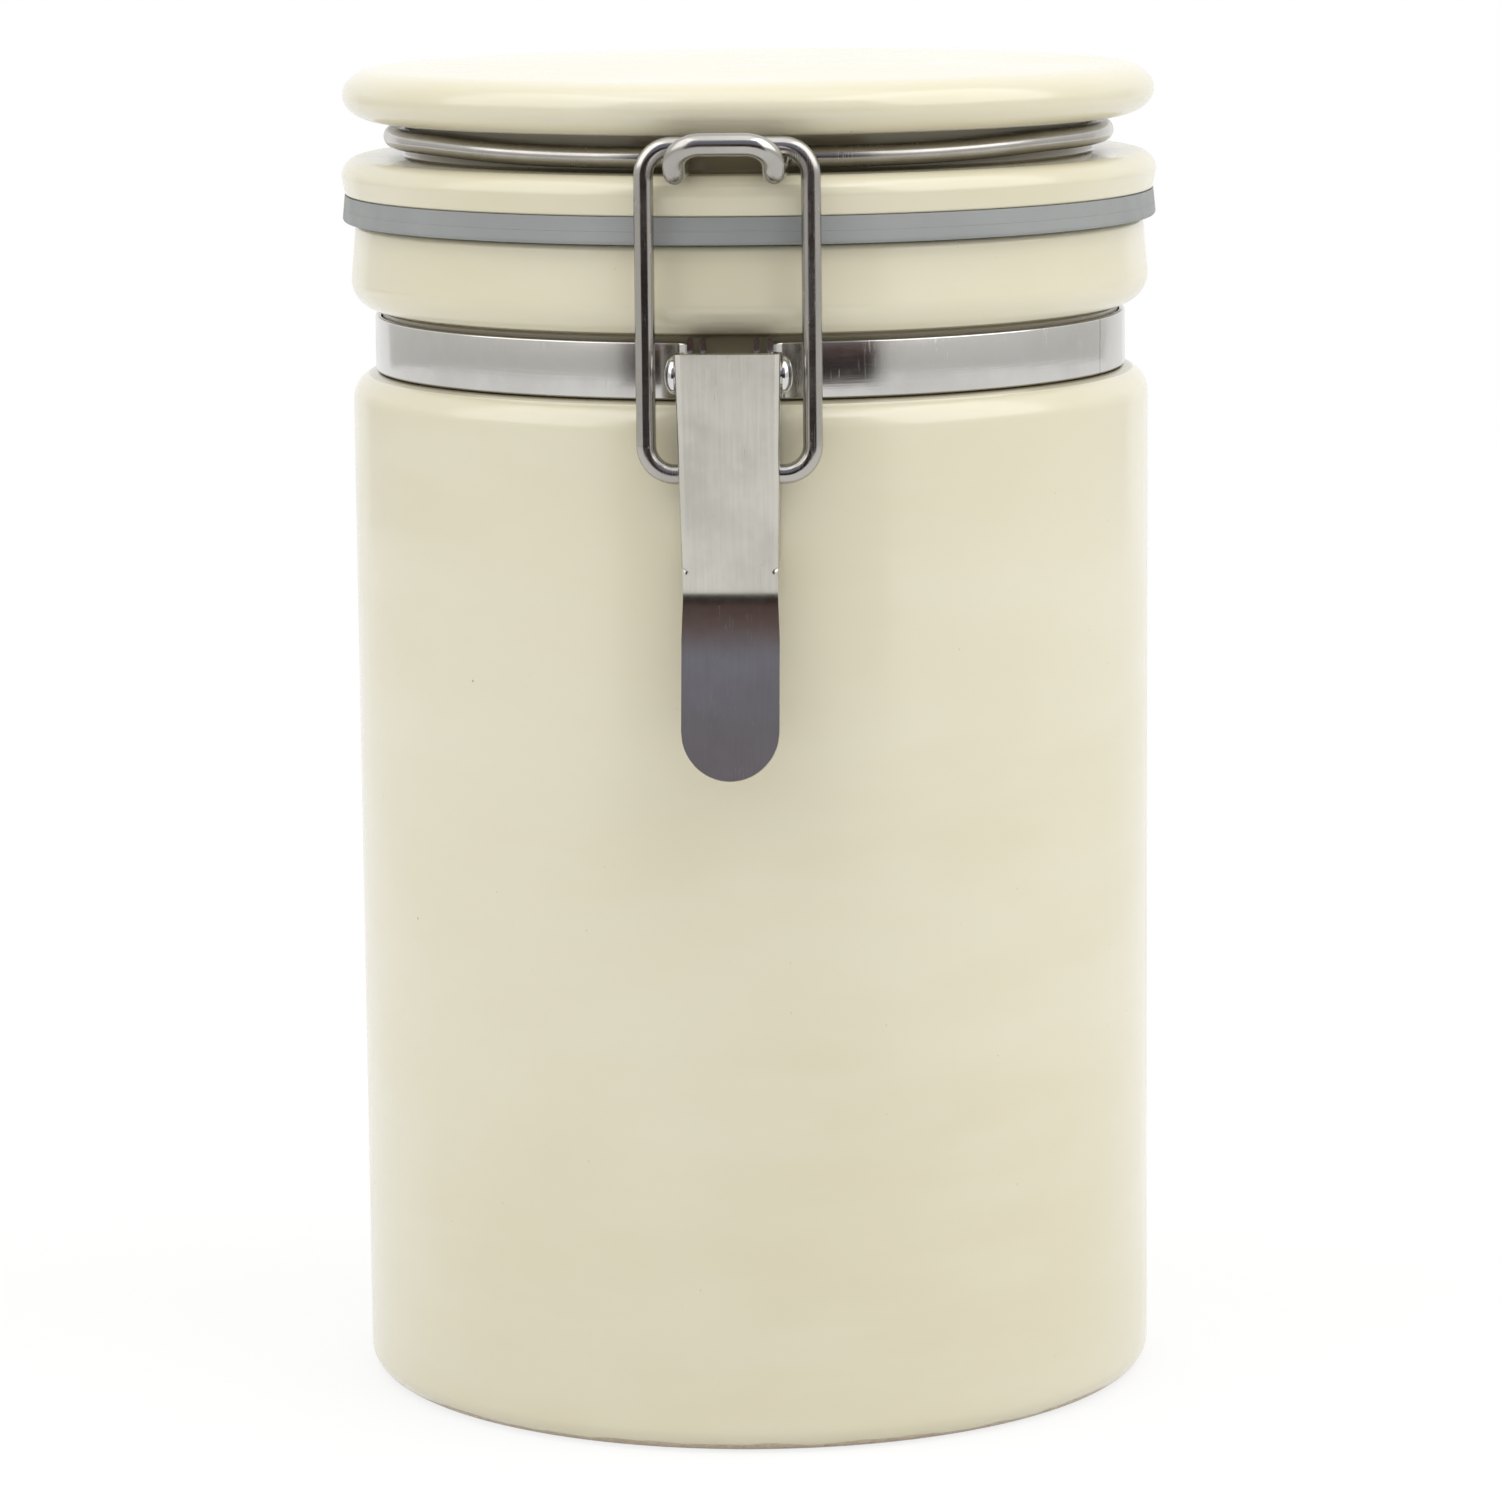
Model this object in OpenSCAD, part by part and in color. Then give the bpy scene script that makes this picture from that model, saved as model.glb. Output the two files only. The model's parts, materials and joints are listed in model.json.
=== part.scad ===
// Food canister: a glazed stoneware jar whose lid is held by a wire bail and an over-centre lever.
// The origin is the centre of the foot, +Z is up and the latch faces -Y. Lengths are in millimetres.

/* [Jar] */
// Diameter of the jar's body
body_d = 105.8; // [98:0.2:116]
// Thickness of the stoneware wall
wall = 5.2; // [3.5:0.1:7]
// Thickness of the jar's floor
floor_t = 6; // [4:0.5:10]
// Radius of the rounded edge at the foot
foot_r = 3; // [1.5:0.5:5]
// Depth of the recess under the floor
foot_recess = 1.4; // [0.6:0.2:2.4]
// Width of the ring that the jar stands on
foot_ring_w = 5; // [3:0.5:8]
// Height of the top of the jar's shoulder
shoulder_z = 135.3; // [110:0.1:160]
// Radius of the rounded shoulder
shoulder_r = 3.7; // [2:0.1:4]
// Depth of the neck groove that the band lies in
neck_inset = 4; // [3.5:0.1:5]
// Thickness of the stoneware at the neck
neck_wall = 5.4; // [4:0.1:7]
// Height of the neck between the shoulder and the collar
neck_h = 8.2; // [8:0.1:10]
// Height of the collar above the neck
collar_h = 11.4; // [10:0.1:14]
// Radius of the collar's rounded lower edge
collar_r = 4; // [2.5:0.1:5]
// Radius of the rim's outer edge
rim_r = 0.9; // [0.4:0.1:1.5]

/* [Lid] */
// How far the lid's flange stands out past the body
flange_over = 1.1; // [0.6:0.1:1.4]
// Height of the flange that presses on the seal
flange_h = 5; // [4:0.1:7]
// Radius of the flange's upper edge
flange_r = 2.6; // [1:0.1:3]
// Depth of the wire groove, from the flange's edge to its floor
groove_depth = 8.5; // [7.6:0.1:10]
// Height of the wire groove
groove_h = 4.8; // [4.6:0.1:7]
// How far the top disc stands out past the body
disc_over = 0.8; // [0:0.1:1.4]
// Thickness of the top disc at its edge
disc_h = 6.7; // [5:0.1:9]
// How far in the disc's rounded edge reaches
disc_edge = 4.6; // [2:0.1:7]
// Rise of the top's crown in the middle
crown = 0.5; // [0:0.1:3]
// Gap all round between the plug and the mouth
plug_gap = 1.5; // [1.2:0.1:3]
// Depth of the plug below the rim
plug_depth = 8.5; // [5:0.5:10]
// Thickness of the plug's wall
plug_wall = 6; // [4:0.5:10]
// Thickness of the lid's roof over its hollow underside
roof_t = 10; // [7:0.5:14]

/* [Seal] */
// Thickness of the seal between the flange and the rim
seal_t = 3.5; // [2:0.1:5]
// How far the seal's flared skirt stands out past the body
seal_flare = 1; // [0.3:0.1:1.3]
// Gap between the seal and the rim
seal_gap = 0.2; // [0.1:0.05:0.4]

/* [Wire and sheet] */
// Diameter of the lid ring's wire
ring_wire = 2.8; // [2.2:0.1:3]
// Diameter of the bail's wire
bail_wire = 2.5; // [2:0.1:2.7]
// Thickness of the neck band
band_t = 0.8; // [0.5:0.1:1]
// Width of the neck band
band_w = 7.3; // [6:0.1:7.6]
// Thickness of the lever's sheet
lever_t = 1; // [0.7:0.1:1.2]
// Gap of a running fit round a pin or a wire end
run_gap = 0.08; // [0.04:0.01:0.1]

/* [Latch] */
// Distance of the lever's pivot in front of the body's wall
pivot_out = 2.9; // [2.9:0.1:3.5]
// Diameter of the pivot pin
pin_d = 3; // [2.4:0.1:3.2]
// Diameter of the pin's domed heads
pin_head_d = 4.8; // [4:0.1:5.2]
// Distance from the lever's pivot down to the bail's pivot
throw = 12.4; // [11.4:0.1:12.8]
// How far the bail's pivot lies behind the lever's pivot, so that the latch locks past centre
over_centre = 0.3; // [0:0.1:0.4]
// Outer width of the bail
bail_w = 23.3; // [21.5:0.1:27]
// Bend radius of the bail's corners, at the wire's centre
bail_r = 3.6; // [2.5:0.1:4.2]
// Width of the lever at its top
lever_w = 13.2; // [12.8:0.1:14.4]
// Width of the lever where the thumb tab begins
lever_w_low = 12.1; // [11.7:0.1:12.7]
// Length of the lever's channel, without the tab
channel_h = 29.6; // [26:0.1:34]
// Length of the thumb tab
tab_h = 23.4; // [16:0.1:30]
// Angle at which the thumb tab swings out from the jar
tab_angle = 14; // [4:1:20]

/* [Hook and hinge] */
// Distance between the hook's two legs, at their centres
hook_w = 12.2; // [10:0.1:13]
// Distance from the bail's bar forward to the hook's crossbar
hook_reach = 10.2; // [10.1:0.1:12]
// How far the hook's crossbar stands above the bail's bar
hook_rise = 0.8; // [0:0.1:1]
// Distance of the hinge axis behind the body's wall
hinge_out = 5.1; // [4.9:0.1:7]
// Height of the hinge axis above the rim
hinge_up = 0.6; // [0.3:0.1:1.2]
// Distance between the lid ring's rear legs, at their centres
hinge_w = 15; // [14.5:0.1:20]
// Length of the hinge barrel
barrel_w = 10; // [7:0.5:10]
// Thickness of the hinge bracket's plate
plate_t = 1; // [0.8:0.1:1.2]
// Width of the bracket's pad on the band
pad_w = 19; // [18:0.5:26]
// Diameter of the bracket's rivets
rivet_d = 2.2; // [1.6:0.1:2.6]

/* [Hidden] */
$fn = 96;
cream = "#e6e0cc";
steel = "#a9a7a3";
dark_steel = "#85828a";
silicone = "#8f9597";
far = 60;                       // longer than any piece that a cut or an intersection has to cross

// Jar
body_r = body_d / 2;
inner_r = body_r - wall;
neck_r = body_r - neck_inset;
mouth_r = neck_r - neck_wall;
collar_z = shoulder_z + neck_h;
rim_z = collar_z + collar_h;
rim_lean = 0.6;                 // how far the collar's outside leans in towards the rim
mouth_edge = 1.2;               // radius of the rim's inner edge
inner_shoulder_z = shoulder_z - 2;
inner_shoulder_h = 10;          // height over which the bore widens below the mouth
floor_fillet = 7;
foot_slope = 1;

// Lid, from the seal up
seal_z = rim_z + seal_gap;
flange_z = seal_z + seal_t;
groove_z = flange_z + flange_h;
disc_z = groove_z + groove_h;
top_z = disc_z + disc_h;
flange_edge = body_r + flange_over;
flange_taper = 0.4;
groove_r = flange_edge - groove_depth;
disc_r = body_r + disc_over;
plug_r = mouth_r - plug_gap;
plug_z = rim_z - plug_depth;
plug_lead = 1.5;                // chamfer at the plug's lower edge
hollow_r = plug_r - plug_wall;
hollow_z = top_z - roof_t;
hollow_fillet = 5;

// Lid ring
ring_wr = ring_wire / 2;
ring_r = groove_r + ring_wr + 0.05;
ring_z = groove_z + groove_h / 2;
ring_bend = 3;
join_cut = 0.12;                // the wire's stretches stop this far from a join, inside its sleeve or bead
join_over = 0.05;               // a sleeve or bead stands this far out of the wire
flange_drop = 3;                // distance from the flange's edge at which the hook's legs bend down

// Latch pivots and the bail's bar
pivot_y = -(body_r + pivot_out);
pivot_z = shoulder_z + neck_h / 2 - 0.2;
bail_y = pivot_y + over_centre;
bail_z = pivot_z - throw;
head_play = 0.12;               // gap between the lever's sides and the pin's heads
head_dome = 1.35;               // height of the pin's heads
bail_wr = bail_wire / 2;
bail_x = bail_w / 2 - bail_wr;
bar_z = ring_z + 1.5;
bail_end = 1.5;                 // how far the bail's ends reach past the lever's sides

// Hook
hook_x = hook_w / 2;
hook_play = 0.3;                // play between the bail's bar and the hook's legs
leg_z = bar_z - ring_wr - bail_wr - hook_play;
arch_y = bail_y - hook_reach;
arch_z = bar_z + hook_rise;
hook_bend = (arch_z - leg_z) / 2;

// Lever
web_y = pivot_y - 4.4;          // outside of the web at its top
web_lean = 3;                   // how far the web's lower end leans in
lever_z = pivot_z + 2.9;
channel_z = lever_z - channel_h;
tab_z = channel_z - tab_h;
tab_r = lever_w_low / 2 + 0.1;
tab_bend = 9;
side_y = -(body_r + 0.25);      // back edge of the lever's sides
side_round = 3;
side_end = 2.6;                 // the sides stop this far above the tab
fold_edge = 0.65;               // width of the chamfer along the folds between the web and the sides
lean_angle = atan(web_lean / channel_h);

// Neck band and its ears
band_r = neck_r + 0.15;
band_out = band_r + band_t;
band_z = shoulder_z + 0.15;
band_top = band_z + band_w;
ear_r = 2.7;                    // radius of the ear round the pivot
ear_play = 0.1;                 // gap between the ear and the lever's side
ear_x = lever_half(pivot_z - ear_r) - lever_t - ear_play;
ear_fold = 2.45;                // outer width of the folded ear
horn_y = pivot_y + 3.7;         // the ear's horn stays clear of the lever's swing
horn_z = collar_z;

// Hinge
hinge_y = body_r + hinge_out;
hinge_z = rim_z + hinge_up;
hinge_x = hinge_w / 2;
barrel_bore = ring_wr + run_gap;
barrel_r = barrel_bore + plate_t;
pintle_end = 1;                 // distance of the pivots' ends from the middle
leg_bend = 2.4;
turn_bend = 2;
riser_y = body_r + 1.6;         // inside of the bracket's riser, behind the collar
rivet_angle = 8.4;
rivet_head = 1.7;
rivet_dome = 0.9;               // height of the rivets' heads
pad_out = band_out + plate_t;   // outside of the bracket's pad

// Half the lever's outer width at a height
function lever_half(z) = (lever_w - (lever_w - lever_w_low) * (lever_z - z) / channel_h) / 2;
// Points along an oval arc with half axes rx and rz, from angle a0 to a1
function oval(c, rx, rz, a0, a1, n = 12) =
    [for (i = [0 : n]) let (a = a0 + (a1 - a0) * i / n) [c[0] + rx * cos(a), c[1] + rz * sin(a)]];
// Points along a round arc
function arc(c, r, a0, a1, n = 12) = oval(c, r, r, a0, a1, n);
// Distance from the axis to a bend that leaves the lid ring at the offset x
function bend_y(x) = sqrt(pow(ring_r + ring_bend, 2) - pow(x + ring_bend, 2));

// A straight stretch of round wire
module rod(p, q, r) {
    v = q - p;
    translate(p)
        rotate([0, acos(v[2] / norm(v)), atan2(v[1], v[0])])
            cylinder(r = r, h = norm(v));
}

// A bend of round wire about c, in the plane that turn lays the XY plane into
module elbow(c, rb, r, a0, a1, turn = [0, 0, 0]) {
    translate(c)
        rotate(turn)
            rotate([0, 0, a0])
                rotate_extrude(angle = a1 - a0)
                    translate([rb, 0])
                        circle(r = r);
}
UP_YZ = [90, 0, 90];            // lays the XY plane into YZ
UP_XZ = [90, 0, 0];             // lays the XY plane into XZ

// A profile in the YZ plane, extruded over the width w about x = 0
module across(w) {
    rotate(UP_YZ)
        linear_extrude(height = w, center = true)
            children();
}

// A profile in the XZ plane, extruded along Y through everything in front
module through_front() {
    translate([0, -far / 2, 0])
        rotate(UP_XZ)
            linear_extrude(height = far)
                children();
}

// A domed head on the XY plane
module dome(r, h) {
    rotate_extrude()
        polygon(concat([[0, 0]], oval([0, 0], r, h, 0, 90)));
}

module jar() {
    outside = concat(
        [[0, foot_recess], [body_r - foot_r - foot_ring_w - foot_slope, foot_recess]],
        [[body_r - foot_r - foot_ring_w, 0]],
        arc([body_r - foot_r, foot_r], foot_r, -90, 0),
        arc([body_r - shoulder_r, shoulder_z - shoulder_r], shoulder_r, 0, 90),
        [[neck_r, shoulder_z], [neck_r, collar_z]],
        arc([body_r - collar_r, collar_z + collar_r], collar_r, -88, 0),
        arc([body_r - rim_lean - rim_r, rim_z - rim_r], rim_r, 5, 90, 6)
    );
    inside = concat(
        arc([mouth_r + mouth_edge, rim_z - mouth_edge], mouth_edge, 90, 180, 6),
        [for (i = [0 : 10]) let (s = (1 - cos(18 * i)) / 2)
            [mouth_r + (inner_r - mouth_r) * s, inner_shoulder_z - inner_shoulder_h * i / 10]],
        arc([inner_r - floor_fillet, floor_t + floor_fillet], floor_fillet, 0, -90),
        [[0, floor_t]]
    );
    color(cream)
        rotate_extrude()
            polygon(concat(outside, inside));
}

module lid() {
    edge = disc_r - disc_edge;
    color(cream)
        rotate_extrude()
            polygon(concat(
                [[0, hollow_z]],
                arc([hollow_r - hollow_fillet, hollow_z - hollow_fillet], hollow_fillet, 90, 0),
                [[hollow_r, plug_z], [plug_r - plug_lead, plug_z], [plug_r, plug_z + plug_lead]],
                [[plug_r, flange_z], [flange_edge - flange_taper, flange_z]],
                arc([flange_edge - flange_r, groove_z - flange_r], flange_r, 5, 90),
                [[groove_r, groove_z], [groove_r, disc_z]],
                oval([edge, disc_z + disc_h / 2], disc_edge, disc_h / 2, -90, 90, 24),
                [for (i = [1 : 12]) let (s = 1 - i / 12) [edge * s, top_z + crown * (1 - s * s)]]
            ));
}

module seal() {
    lip = body_r + seal_flare;
    lip_h = 0.5;                            // height of the skirt's rounded lower edge
    color(silicone)
        rotate_extrude()
            polygon([
                [plug_r, seal_z], [lip - lip_h, seal_z], [lip - 0.2, seal_z + 0.3], [lip, seal_z + lip_h],
                [flange_edge - flange_taper, flange_z], [plug_r, flange_z]
            ]);
}

// Angle of a bend of radius r that lies under one half of a sleeve
function sleeve_angle(r) = join_cut / r * 180 / PI;

// A sleeve that closes the join of two stretches of the ring's wire, a hair thicker than the wire
module sleeve(p, heading) {
    translate(p)
        rotate([0, 90, heading])
            cylinder(r = ring_wr + join_over, h = 4 * join_cut, center = true);
}

// A bead that closes a slight kink in the ring's wire
module bead(p) {
    translate(p)
        sphere(r = ring_wr + join_over);
}

// A bend from the ring to the leg at x, in the ring's plane: out is 1 at the front and -1 at the back
module leg_root(x, out) {
    centre = [x + ring_bend, -out * bend_y(x)];
    heading = atan2(centre[1], centre[0]);
    cut = out * sleeve_angle(ring_bend);
    elbow([centre[0], centre[1], ring_z], ring_bend, ring_wr, heading + 180 + cut, 180 - cut);
    sleeve([ring_r * cos(heading), ring_r * sin(heading), ring_z], heading + 90);
    sleeve([x, centre[1], ring_z], 90);
}

// One side of the lid ring, from the hook round the groove to the hinge
module ring_side() {
    front_y = -bend_y(hook_x);
    back_y = bend_y(hinge_x);
    front_a = atan2(front_y, hook_x + ring_bend) + sleeve_angle(ring_r);
    back_a = atan2(back_y, hinge_x + ring_bend) - sleeve_angle(ring_r);
    drop_start = [hook_x, flange_drop - flange_edge, ring_z];
    drop_end = [hook_x, bail_y + 0.5, leg_z];
    cut = (drop_end - drop_start) / norm(drop_end - drop_start) * join_cut;
    elbow([0, 0, ring_z], ring_r, ring_wr, front_a, back_a);

    leg_root(hook_x, 1);
    rod([hook_x, front_y - join_cut, ring_z], drop_start + [0, join_cut, 0], ring_wr);
    bead(drop_start);
    rod(drop_start + cut, drop_end - cut, ring_wr);
    bead(drop_end);
    rod(drop_end - [0, join_cut, 0], [hook_x, arch_y + hook_bend, leg_z], ring_wr);
    elbow([hook_x, arch_y + hook_bend, leg_z + hook_bend], hook_bend, ring_wr, 180, 270, UP_YZ);
    elbow([hook_x - hook_bend, arch_y, arch_z - hook_bend], hook_bend, ring_wr, 0, 90, UP_XZ);

    leg_root(hinge_x, -1);
    rod([hinge_x, back_y + join_cut, ring_z], [hinge_x, hinge_y - leg_bend - join_cut, ring_z], ring_wr);
    sleeve([hinge_x, hinge_y - leg_bend, ring_z], 90);
    elbow(
        [hinge_x, hinge_y - leg_bend, ring_z - leg_bend],
        leg_bend, ring_wr, 0, 90 - sleeve_angle(leg_bend), UP_YZ
    );
    rod([hinge_x, hinge_y, hinge_z + turn_bend], [hinge_x, hinge_y, ring_z - leg_bend], ring_wr);
    elbow([hinge_x - turn_bend, hinge_y, hinge_z + turn_bend], turn_bend, ring_wr, -90, 0, UP_XZ);
    rod([pintle_end, hinge_y, hinge_z], [hinge_x - turn_bend, hinge_y, hinge_z], ring_wr);
}

module lid_ring() {
    bar = hook_x - hook_bend;
    color(steel) {
        ring_side();
        mirror([1, 0, 0])
            ring_side();
        rod([-bar, arch_y, arch_z], [bar, arch_y, arch_z], ring_wr);
    }
}

// Outline of the folded strap end, seen from above, on the right
module ear_plan() {
    mid = ear_x - ear_fold / 2;
    fold_y = pivot_y - ear_r + ear_fold / 2;
    fillet = 1.6;
    root_y = -sqrt(pow(band_out, 2) - pow(ear_x + fillet, 2));
    translate([ear_x - band_t, fold_y])
        square([band_t, -band_r - fold_y + 0.4]);
    translate([ear_x - ear_fold, fold_y])
        square([band_t, -body_r + 1.9 - fold_y]);
    intersection() {
        difference() {
            translate([mid, fold_y])
                circle(r = ear_fold / 2);
            translate([mid, fold_y])
                circle(r = ear_fold / 2 - band_t);
        }
        translate([mid - ear_fold, fold_y - ear_fold])
            square([2 * ear_fold, ear_fold]);
    }
    difference() {
        translate([ear_x - 0.1, root_y - fillet])
            square([fillet + 0.1, fillet + 0.3]);
        translate([ear_x + fillet, root_y - fillet])
            circle(r = fillet);
    }
}

module ear() {
    intersection() {
        linear_extrude(height = horn_z)
            ear_plan();
        across(far)
            polygon(concat(
                [[-band_r + 1, band_top], [-band_r + 1, band_z], [horn_y, band_z]],
                arc([pivot_y, pivot_z], ear_r, 270, 90, 20),
                [[horn_y - 0.1, pivot_z + ear_r], [horn_y, horn_z], [horn_y + 1.5, horn_z - 0.8]],
                [[-band_out - 0.3, band_top]]
            ));
    }
}

// The rivets' axes, as children laid along them
module at_rivets() {
    for (side = [-1, 1])
        rotate([0, 0, side * rivet_angle])
            translate([0, 0, pivot_z])
                rotate([-90, 0, 0])
                    children();
}

module neck_band() {
    round = band_t / 2;
    color(steel)
        difference() {
            union() {
                difference() {
                    rotate_extrude() {
                        translate([band_r, band_z + round])
                            square([band_t, band_w - band_t]);
                        for (z = [band_z + round, band_top - round])
                            translate([band_r + round, z])
                                circle(r = round);
                    }
                    translate([-(ear_x - band_t / 2), -far - neck_r / 2, band_z - 1])
                        cube([2 * ear_x - band_t, far, band_w + 2]);
                }
                ear();
                mirror([1, 0, 0])
                    ear();
            }
            translate([0, pivot_y, pivot_z])
                rotate([0, 90, 0])
                    cylinder(d = pin_d + 0.04, h = far, center = true);
            at_rivets()
                cylinder(d = rivet_d + 0.04, h = far);
        }
}

module hinge_bracket() {
    out = riser_y + plate_t;
    foot_z = pivot_z - 2.2;                 // lower end of the riser, on the pad
    curl_z = hinge_z - barrel_r - 0.6;      // height at which the riser turns out under the barrel
    root_y = band_out + 0.1;                // the riser's root reaches into the pad
    back_face = [
        [root_y, foot_z], [pad_out, foot_z], [out, collar_z - 0.6], [out, curl_z - 0.8],
        [out + 1, curl_z + 0.6], [hinge_y + 0.6, hinge_z - barrel_r + 0.3]
    ];
    jar_face = [
        [hinge_y - 0.6, hinge_z - barrel_bore - 0.2], [riser_y + 0.4, curl_z + 1],
        [riser_y, curl_z - 0.2], [riser_y, collar_z + 0.1], [root_y, foot_z + 1.6]
    ];
    color(steel)
        difference() {
            union() {
                intersection() {
                    rotate_extrude()
                        translate([band_out, band_z + 0.2])
                            square([plate_t, band_w - 0.4]);
                    translate([-pad_w / 2, 0, 0])
                        cube([pad_w, far, rim_z]);
                }
                across(barrel_w)
                    polygon(concat(back_face, jar_face));
                translate([0, hinge_y, hinge_z])
                    rotate([0, 90, 0])
                        cylinder(r = barrel_r, h = barrel_w, center = true);
            }
            translate([0, hinge_y, hinge_z])
                rotate([0, 90, 0])
                    cylinder(r = barrel_bore, h = far, center = true);
            at_rivets()
                cylinder(d = rivet_d + 0.04, h = far);
        }
}

module bracket_rivets() {
    color(steel)
        at_rivets() {
            translate([0, 0, band_r])
                cylinder(d = rivet_d, h = pad_out - band_r + rivet_dome / 4);
            translate([0, 0, pad_out])
                dome(rivet_head, rivet_dome);
        }
}

module pivot_pin() {
    head_x = lever_half(pivot_z) + head_play;
    color(steel)
        translate([0, pivot_y, pivot_z]) {
            rotate([0, 90, 0])
                cylinder(d = pin_d, h = 2 * head_x + head_dome / 2, center = true);
            for (side = [-1, 1])
                translate([side * head_x, 0, 0])
                    rotate([0, side * 90, 0])
                        dome(pin_head_d / 2, head_dome);
        }
}

// The lever's outline from the front
module lever_front() {
    low_half = lever_half(channel_z);
    polygon(concat(
        [[low_half, channel_z], [lever_w / 2, lever_z], [-lever_w / 2, lever_z], [-low_half, channel_z]],
        arc([0, tab_z + tab_r], tab_r, 180, 360, 32)
    ));
}

// The web and the thumb tab from the side, as one bent sheet
module lever_sheet() {
    knee = [web_y + web_lean, channel_z];
    centre = knee + tab_bend * [-cos(lean_angle), -sin(lean_angle)];
    bend_end = centre + tab_bend * [cos(tab_angle), -sin(tab_angle)];
    tip = bend_end + (bend_end[1] - tab_z + 1) * [-tan(tab_angle), -1];
    polygon(concat(
        [[web_y, lever_z], knee],
        arc(centre, tab_bend, lean_angle, -tab_angle, 8),
        [tip, tip + lever_t * [cos(tab_angle), -sin(tab_angle)]],
        arc(centre, tab_bend + lever_t, -tab_angle, lean_angle, 8),
        [[web_y + lever_t / cos(lean_angle), lever_z]]
    ));
}

// A square bar on edge that chamfers the fold on one side, down to the height z
module fold_cut(side, z) {
    drop = (lever_z - z) / channel_h;
    low = [side * lever_half(z), web_y + web_lean * drop, z];
    v = [side * lever_w / 2, web_y, lever_z] - low;
    turn = atan2(v[1], v[0]);
    translate(low)
        rotate([0, acos(v[2] / norm(v)), turn])
            rotate([0, 0, -turn])
                cylinder(r = fold_edge, h = norm(v) + 1, $fn = 4);
}

module lever() {
    web_in = web_y + lever_t / cos(lean_angle);
    low_inner = lever_half(channel_z) - lever_t;
    high_inner = lever_w / 2 - lever_t;
    low_z = channel_z + side_end;
    low_y = web_y + web_lean * (lever_z - low_z) / channel_h;
    color(dark_steel)
        difference() {
            intersection() {
                union() {
                    across(far)
                        lever_sheet();
                    across(far)
                        polygon(concat(
                            [[web_y + lever_t / 2, lever_z]],
                            arc([side_y - side_round, lever_z - side_round], side_round, 90, 0),
                            [[side_y, low_z + 2.2], [side_y - 0.8, low_z + 0.6], [side_y - 1.8, low_z]],
                            [[low_y + lever_t / 2, low_z]]
                        ));
                }
                through_front()
                    lever_front();
            }
            intersection() {
                across(far)
                    polygon([
                        [web_in - 0.1, lever_z + 1], [web_in + web_lean, channel_z],
                        [-body_r / 2, channel_z], [-body_r / 2, lever_z + 1]
                    ]);
                through_front()
                    polygon([
                        [low_inner, channel_z - 1], [high_inner, lever_z + 1],
                        [-high_inner, lever_z + 1], [-low_inner, channel_z - 1]
                    ]);
            }
            for (side = [-1, 1])
                fold_cut(side, low_z + 0.2);
            translate([0, pivot_y, pivot_z])
                rotate([0, 90, 0])
                    cylinder(d = pin_d + 2 * run_gap, h = far, center = true);
            translate([0, bail_y, bail_z])
                rotate([0, 90, 0])
                    cylinder(d = bail_wire + 2 * run_gap, h = far, center = true);
        }
}

// One side of the bail, from the middle of its bar to the end in the lever
module bail_side() {
    low = bail_z + bail_r;
    high = bar_z - bail_r;
    end_x = lever_half(bail_z) - lever_t - bail_end;
    rod([0, bail_y, bar_z], [bail_x - bail_r, bail_y, bar_z], bail_wr);
    elbow([bail_x - bail_r, bail_y, high], bail_r, bail_wr, 0, 90, UP_XZ);
    rod([bail_x, bail_y, low], [bail_x, bail_y, high], bail_wr);
    elbow([bail_x - bail_r, bail_y, low], bail_r, bail_wr, -90, 0, UP_XZ);
    rod([end_x, bail_y, bail_z], [bail_x - bail_r, bail_y, bail_z], bail_wr);
}

module bail() {
    color(steel) {
        bail_side();
        mirror([1, 0, 0])
            bail_side();
    }
}

jar();
lid();
seal();
lid_ring();
neck_band();
hinge_bracket();
bracket_rivets();
pivot_pin();
lever();
bail();
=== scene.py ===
"""The looks of a stoneware food canister with a lever latch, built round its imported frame.

Sizes are in millimetres up to the point where a mesh is made, and in metres from there on.
"""

import json
import math

import bmesh
import bpy
from mathutils import Matrix, Vector

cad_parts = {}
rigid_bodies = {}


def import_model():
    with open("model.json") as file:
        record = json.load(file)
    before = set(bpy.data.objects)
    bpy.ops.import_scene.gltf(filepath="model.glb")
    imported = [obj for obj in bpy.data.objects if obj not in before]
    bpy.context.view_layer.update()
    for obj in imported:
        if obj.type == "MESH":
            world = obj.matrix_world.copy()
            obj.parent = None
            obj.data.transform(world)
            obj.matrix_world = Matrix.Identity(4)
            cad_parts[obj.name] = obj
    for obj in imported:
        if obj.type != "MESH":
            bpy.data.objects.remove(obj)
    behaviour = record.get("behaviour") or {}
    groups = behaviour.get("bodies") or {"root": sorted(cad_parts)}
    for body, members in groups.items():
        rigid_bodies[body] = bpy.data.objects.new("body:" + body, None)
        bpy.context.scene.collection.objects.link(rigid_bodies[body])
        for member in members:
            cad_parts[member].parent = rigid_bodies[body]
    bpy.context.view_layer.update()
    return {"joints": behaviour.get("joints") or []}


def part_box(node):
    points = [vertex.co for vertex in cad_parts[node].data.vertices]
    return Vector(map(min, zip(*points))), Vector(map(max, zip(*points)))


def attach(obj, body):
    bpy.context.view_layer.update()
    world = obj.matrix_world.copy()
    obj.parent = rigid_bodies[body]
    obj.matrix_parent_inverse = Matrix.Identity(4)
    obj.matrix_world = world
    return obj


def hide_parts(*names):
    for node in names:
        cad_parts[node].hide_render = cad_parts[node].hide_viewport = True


for leftover in list(bpy.data.objects):
    bpy.data.objects.remove(leftover)
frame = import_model()
scene = bpy.context.scene

MM = 0.001


def box_mm(node):
    """A node's lowest and highest corners, in millimetres."""
    return [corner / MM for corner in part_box(node)]


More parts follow.
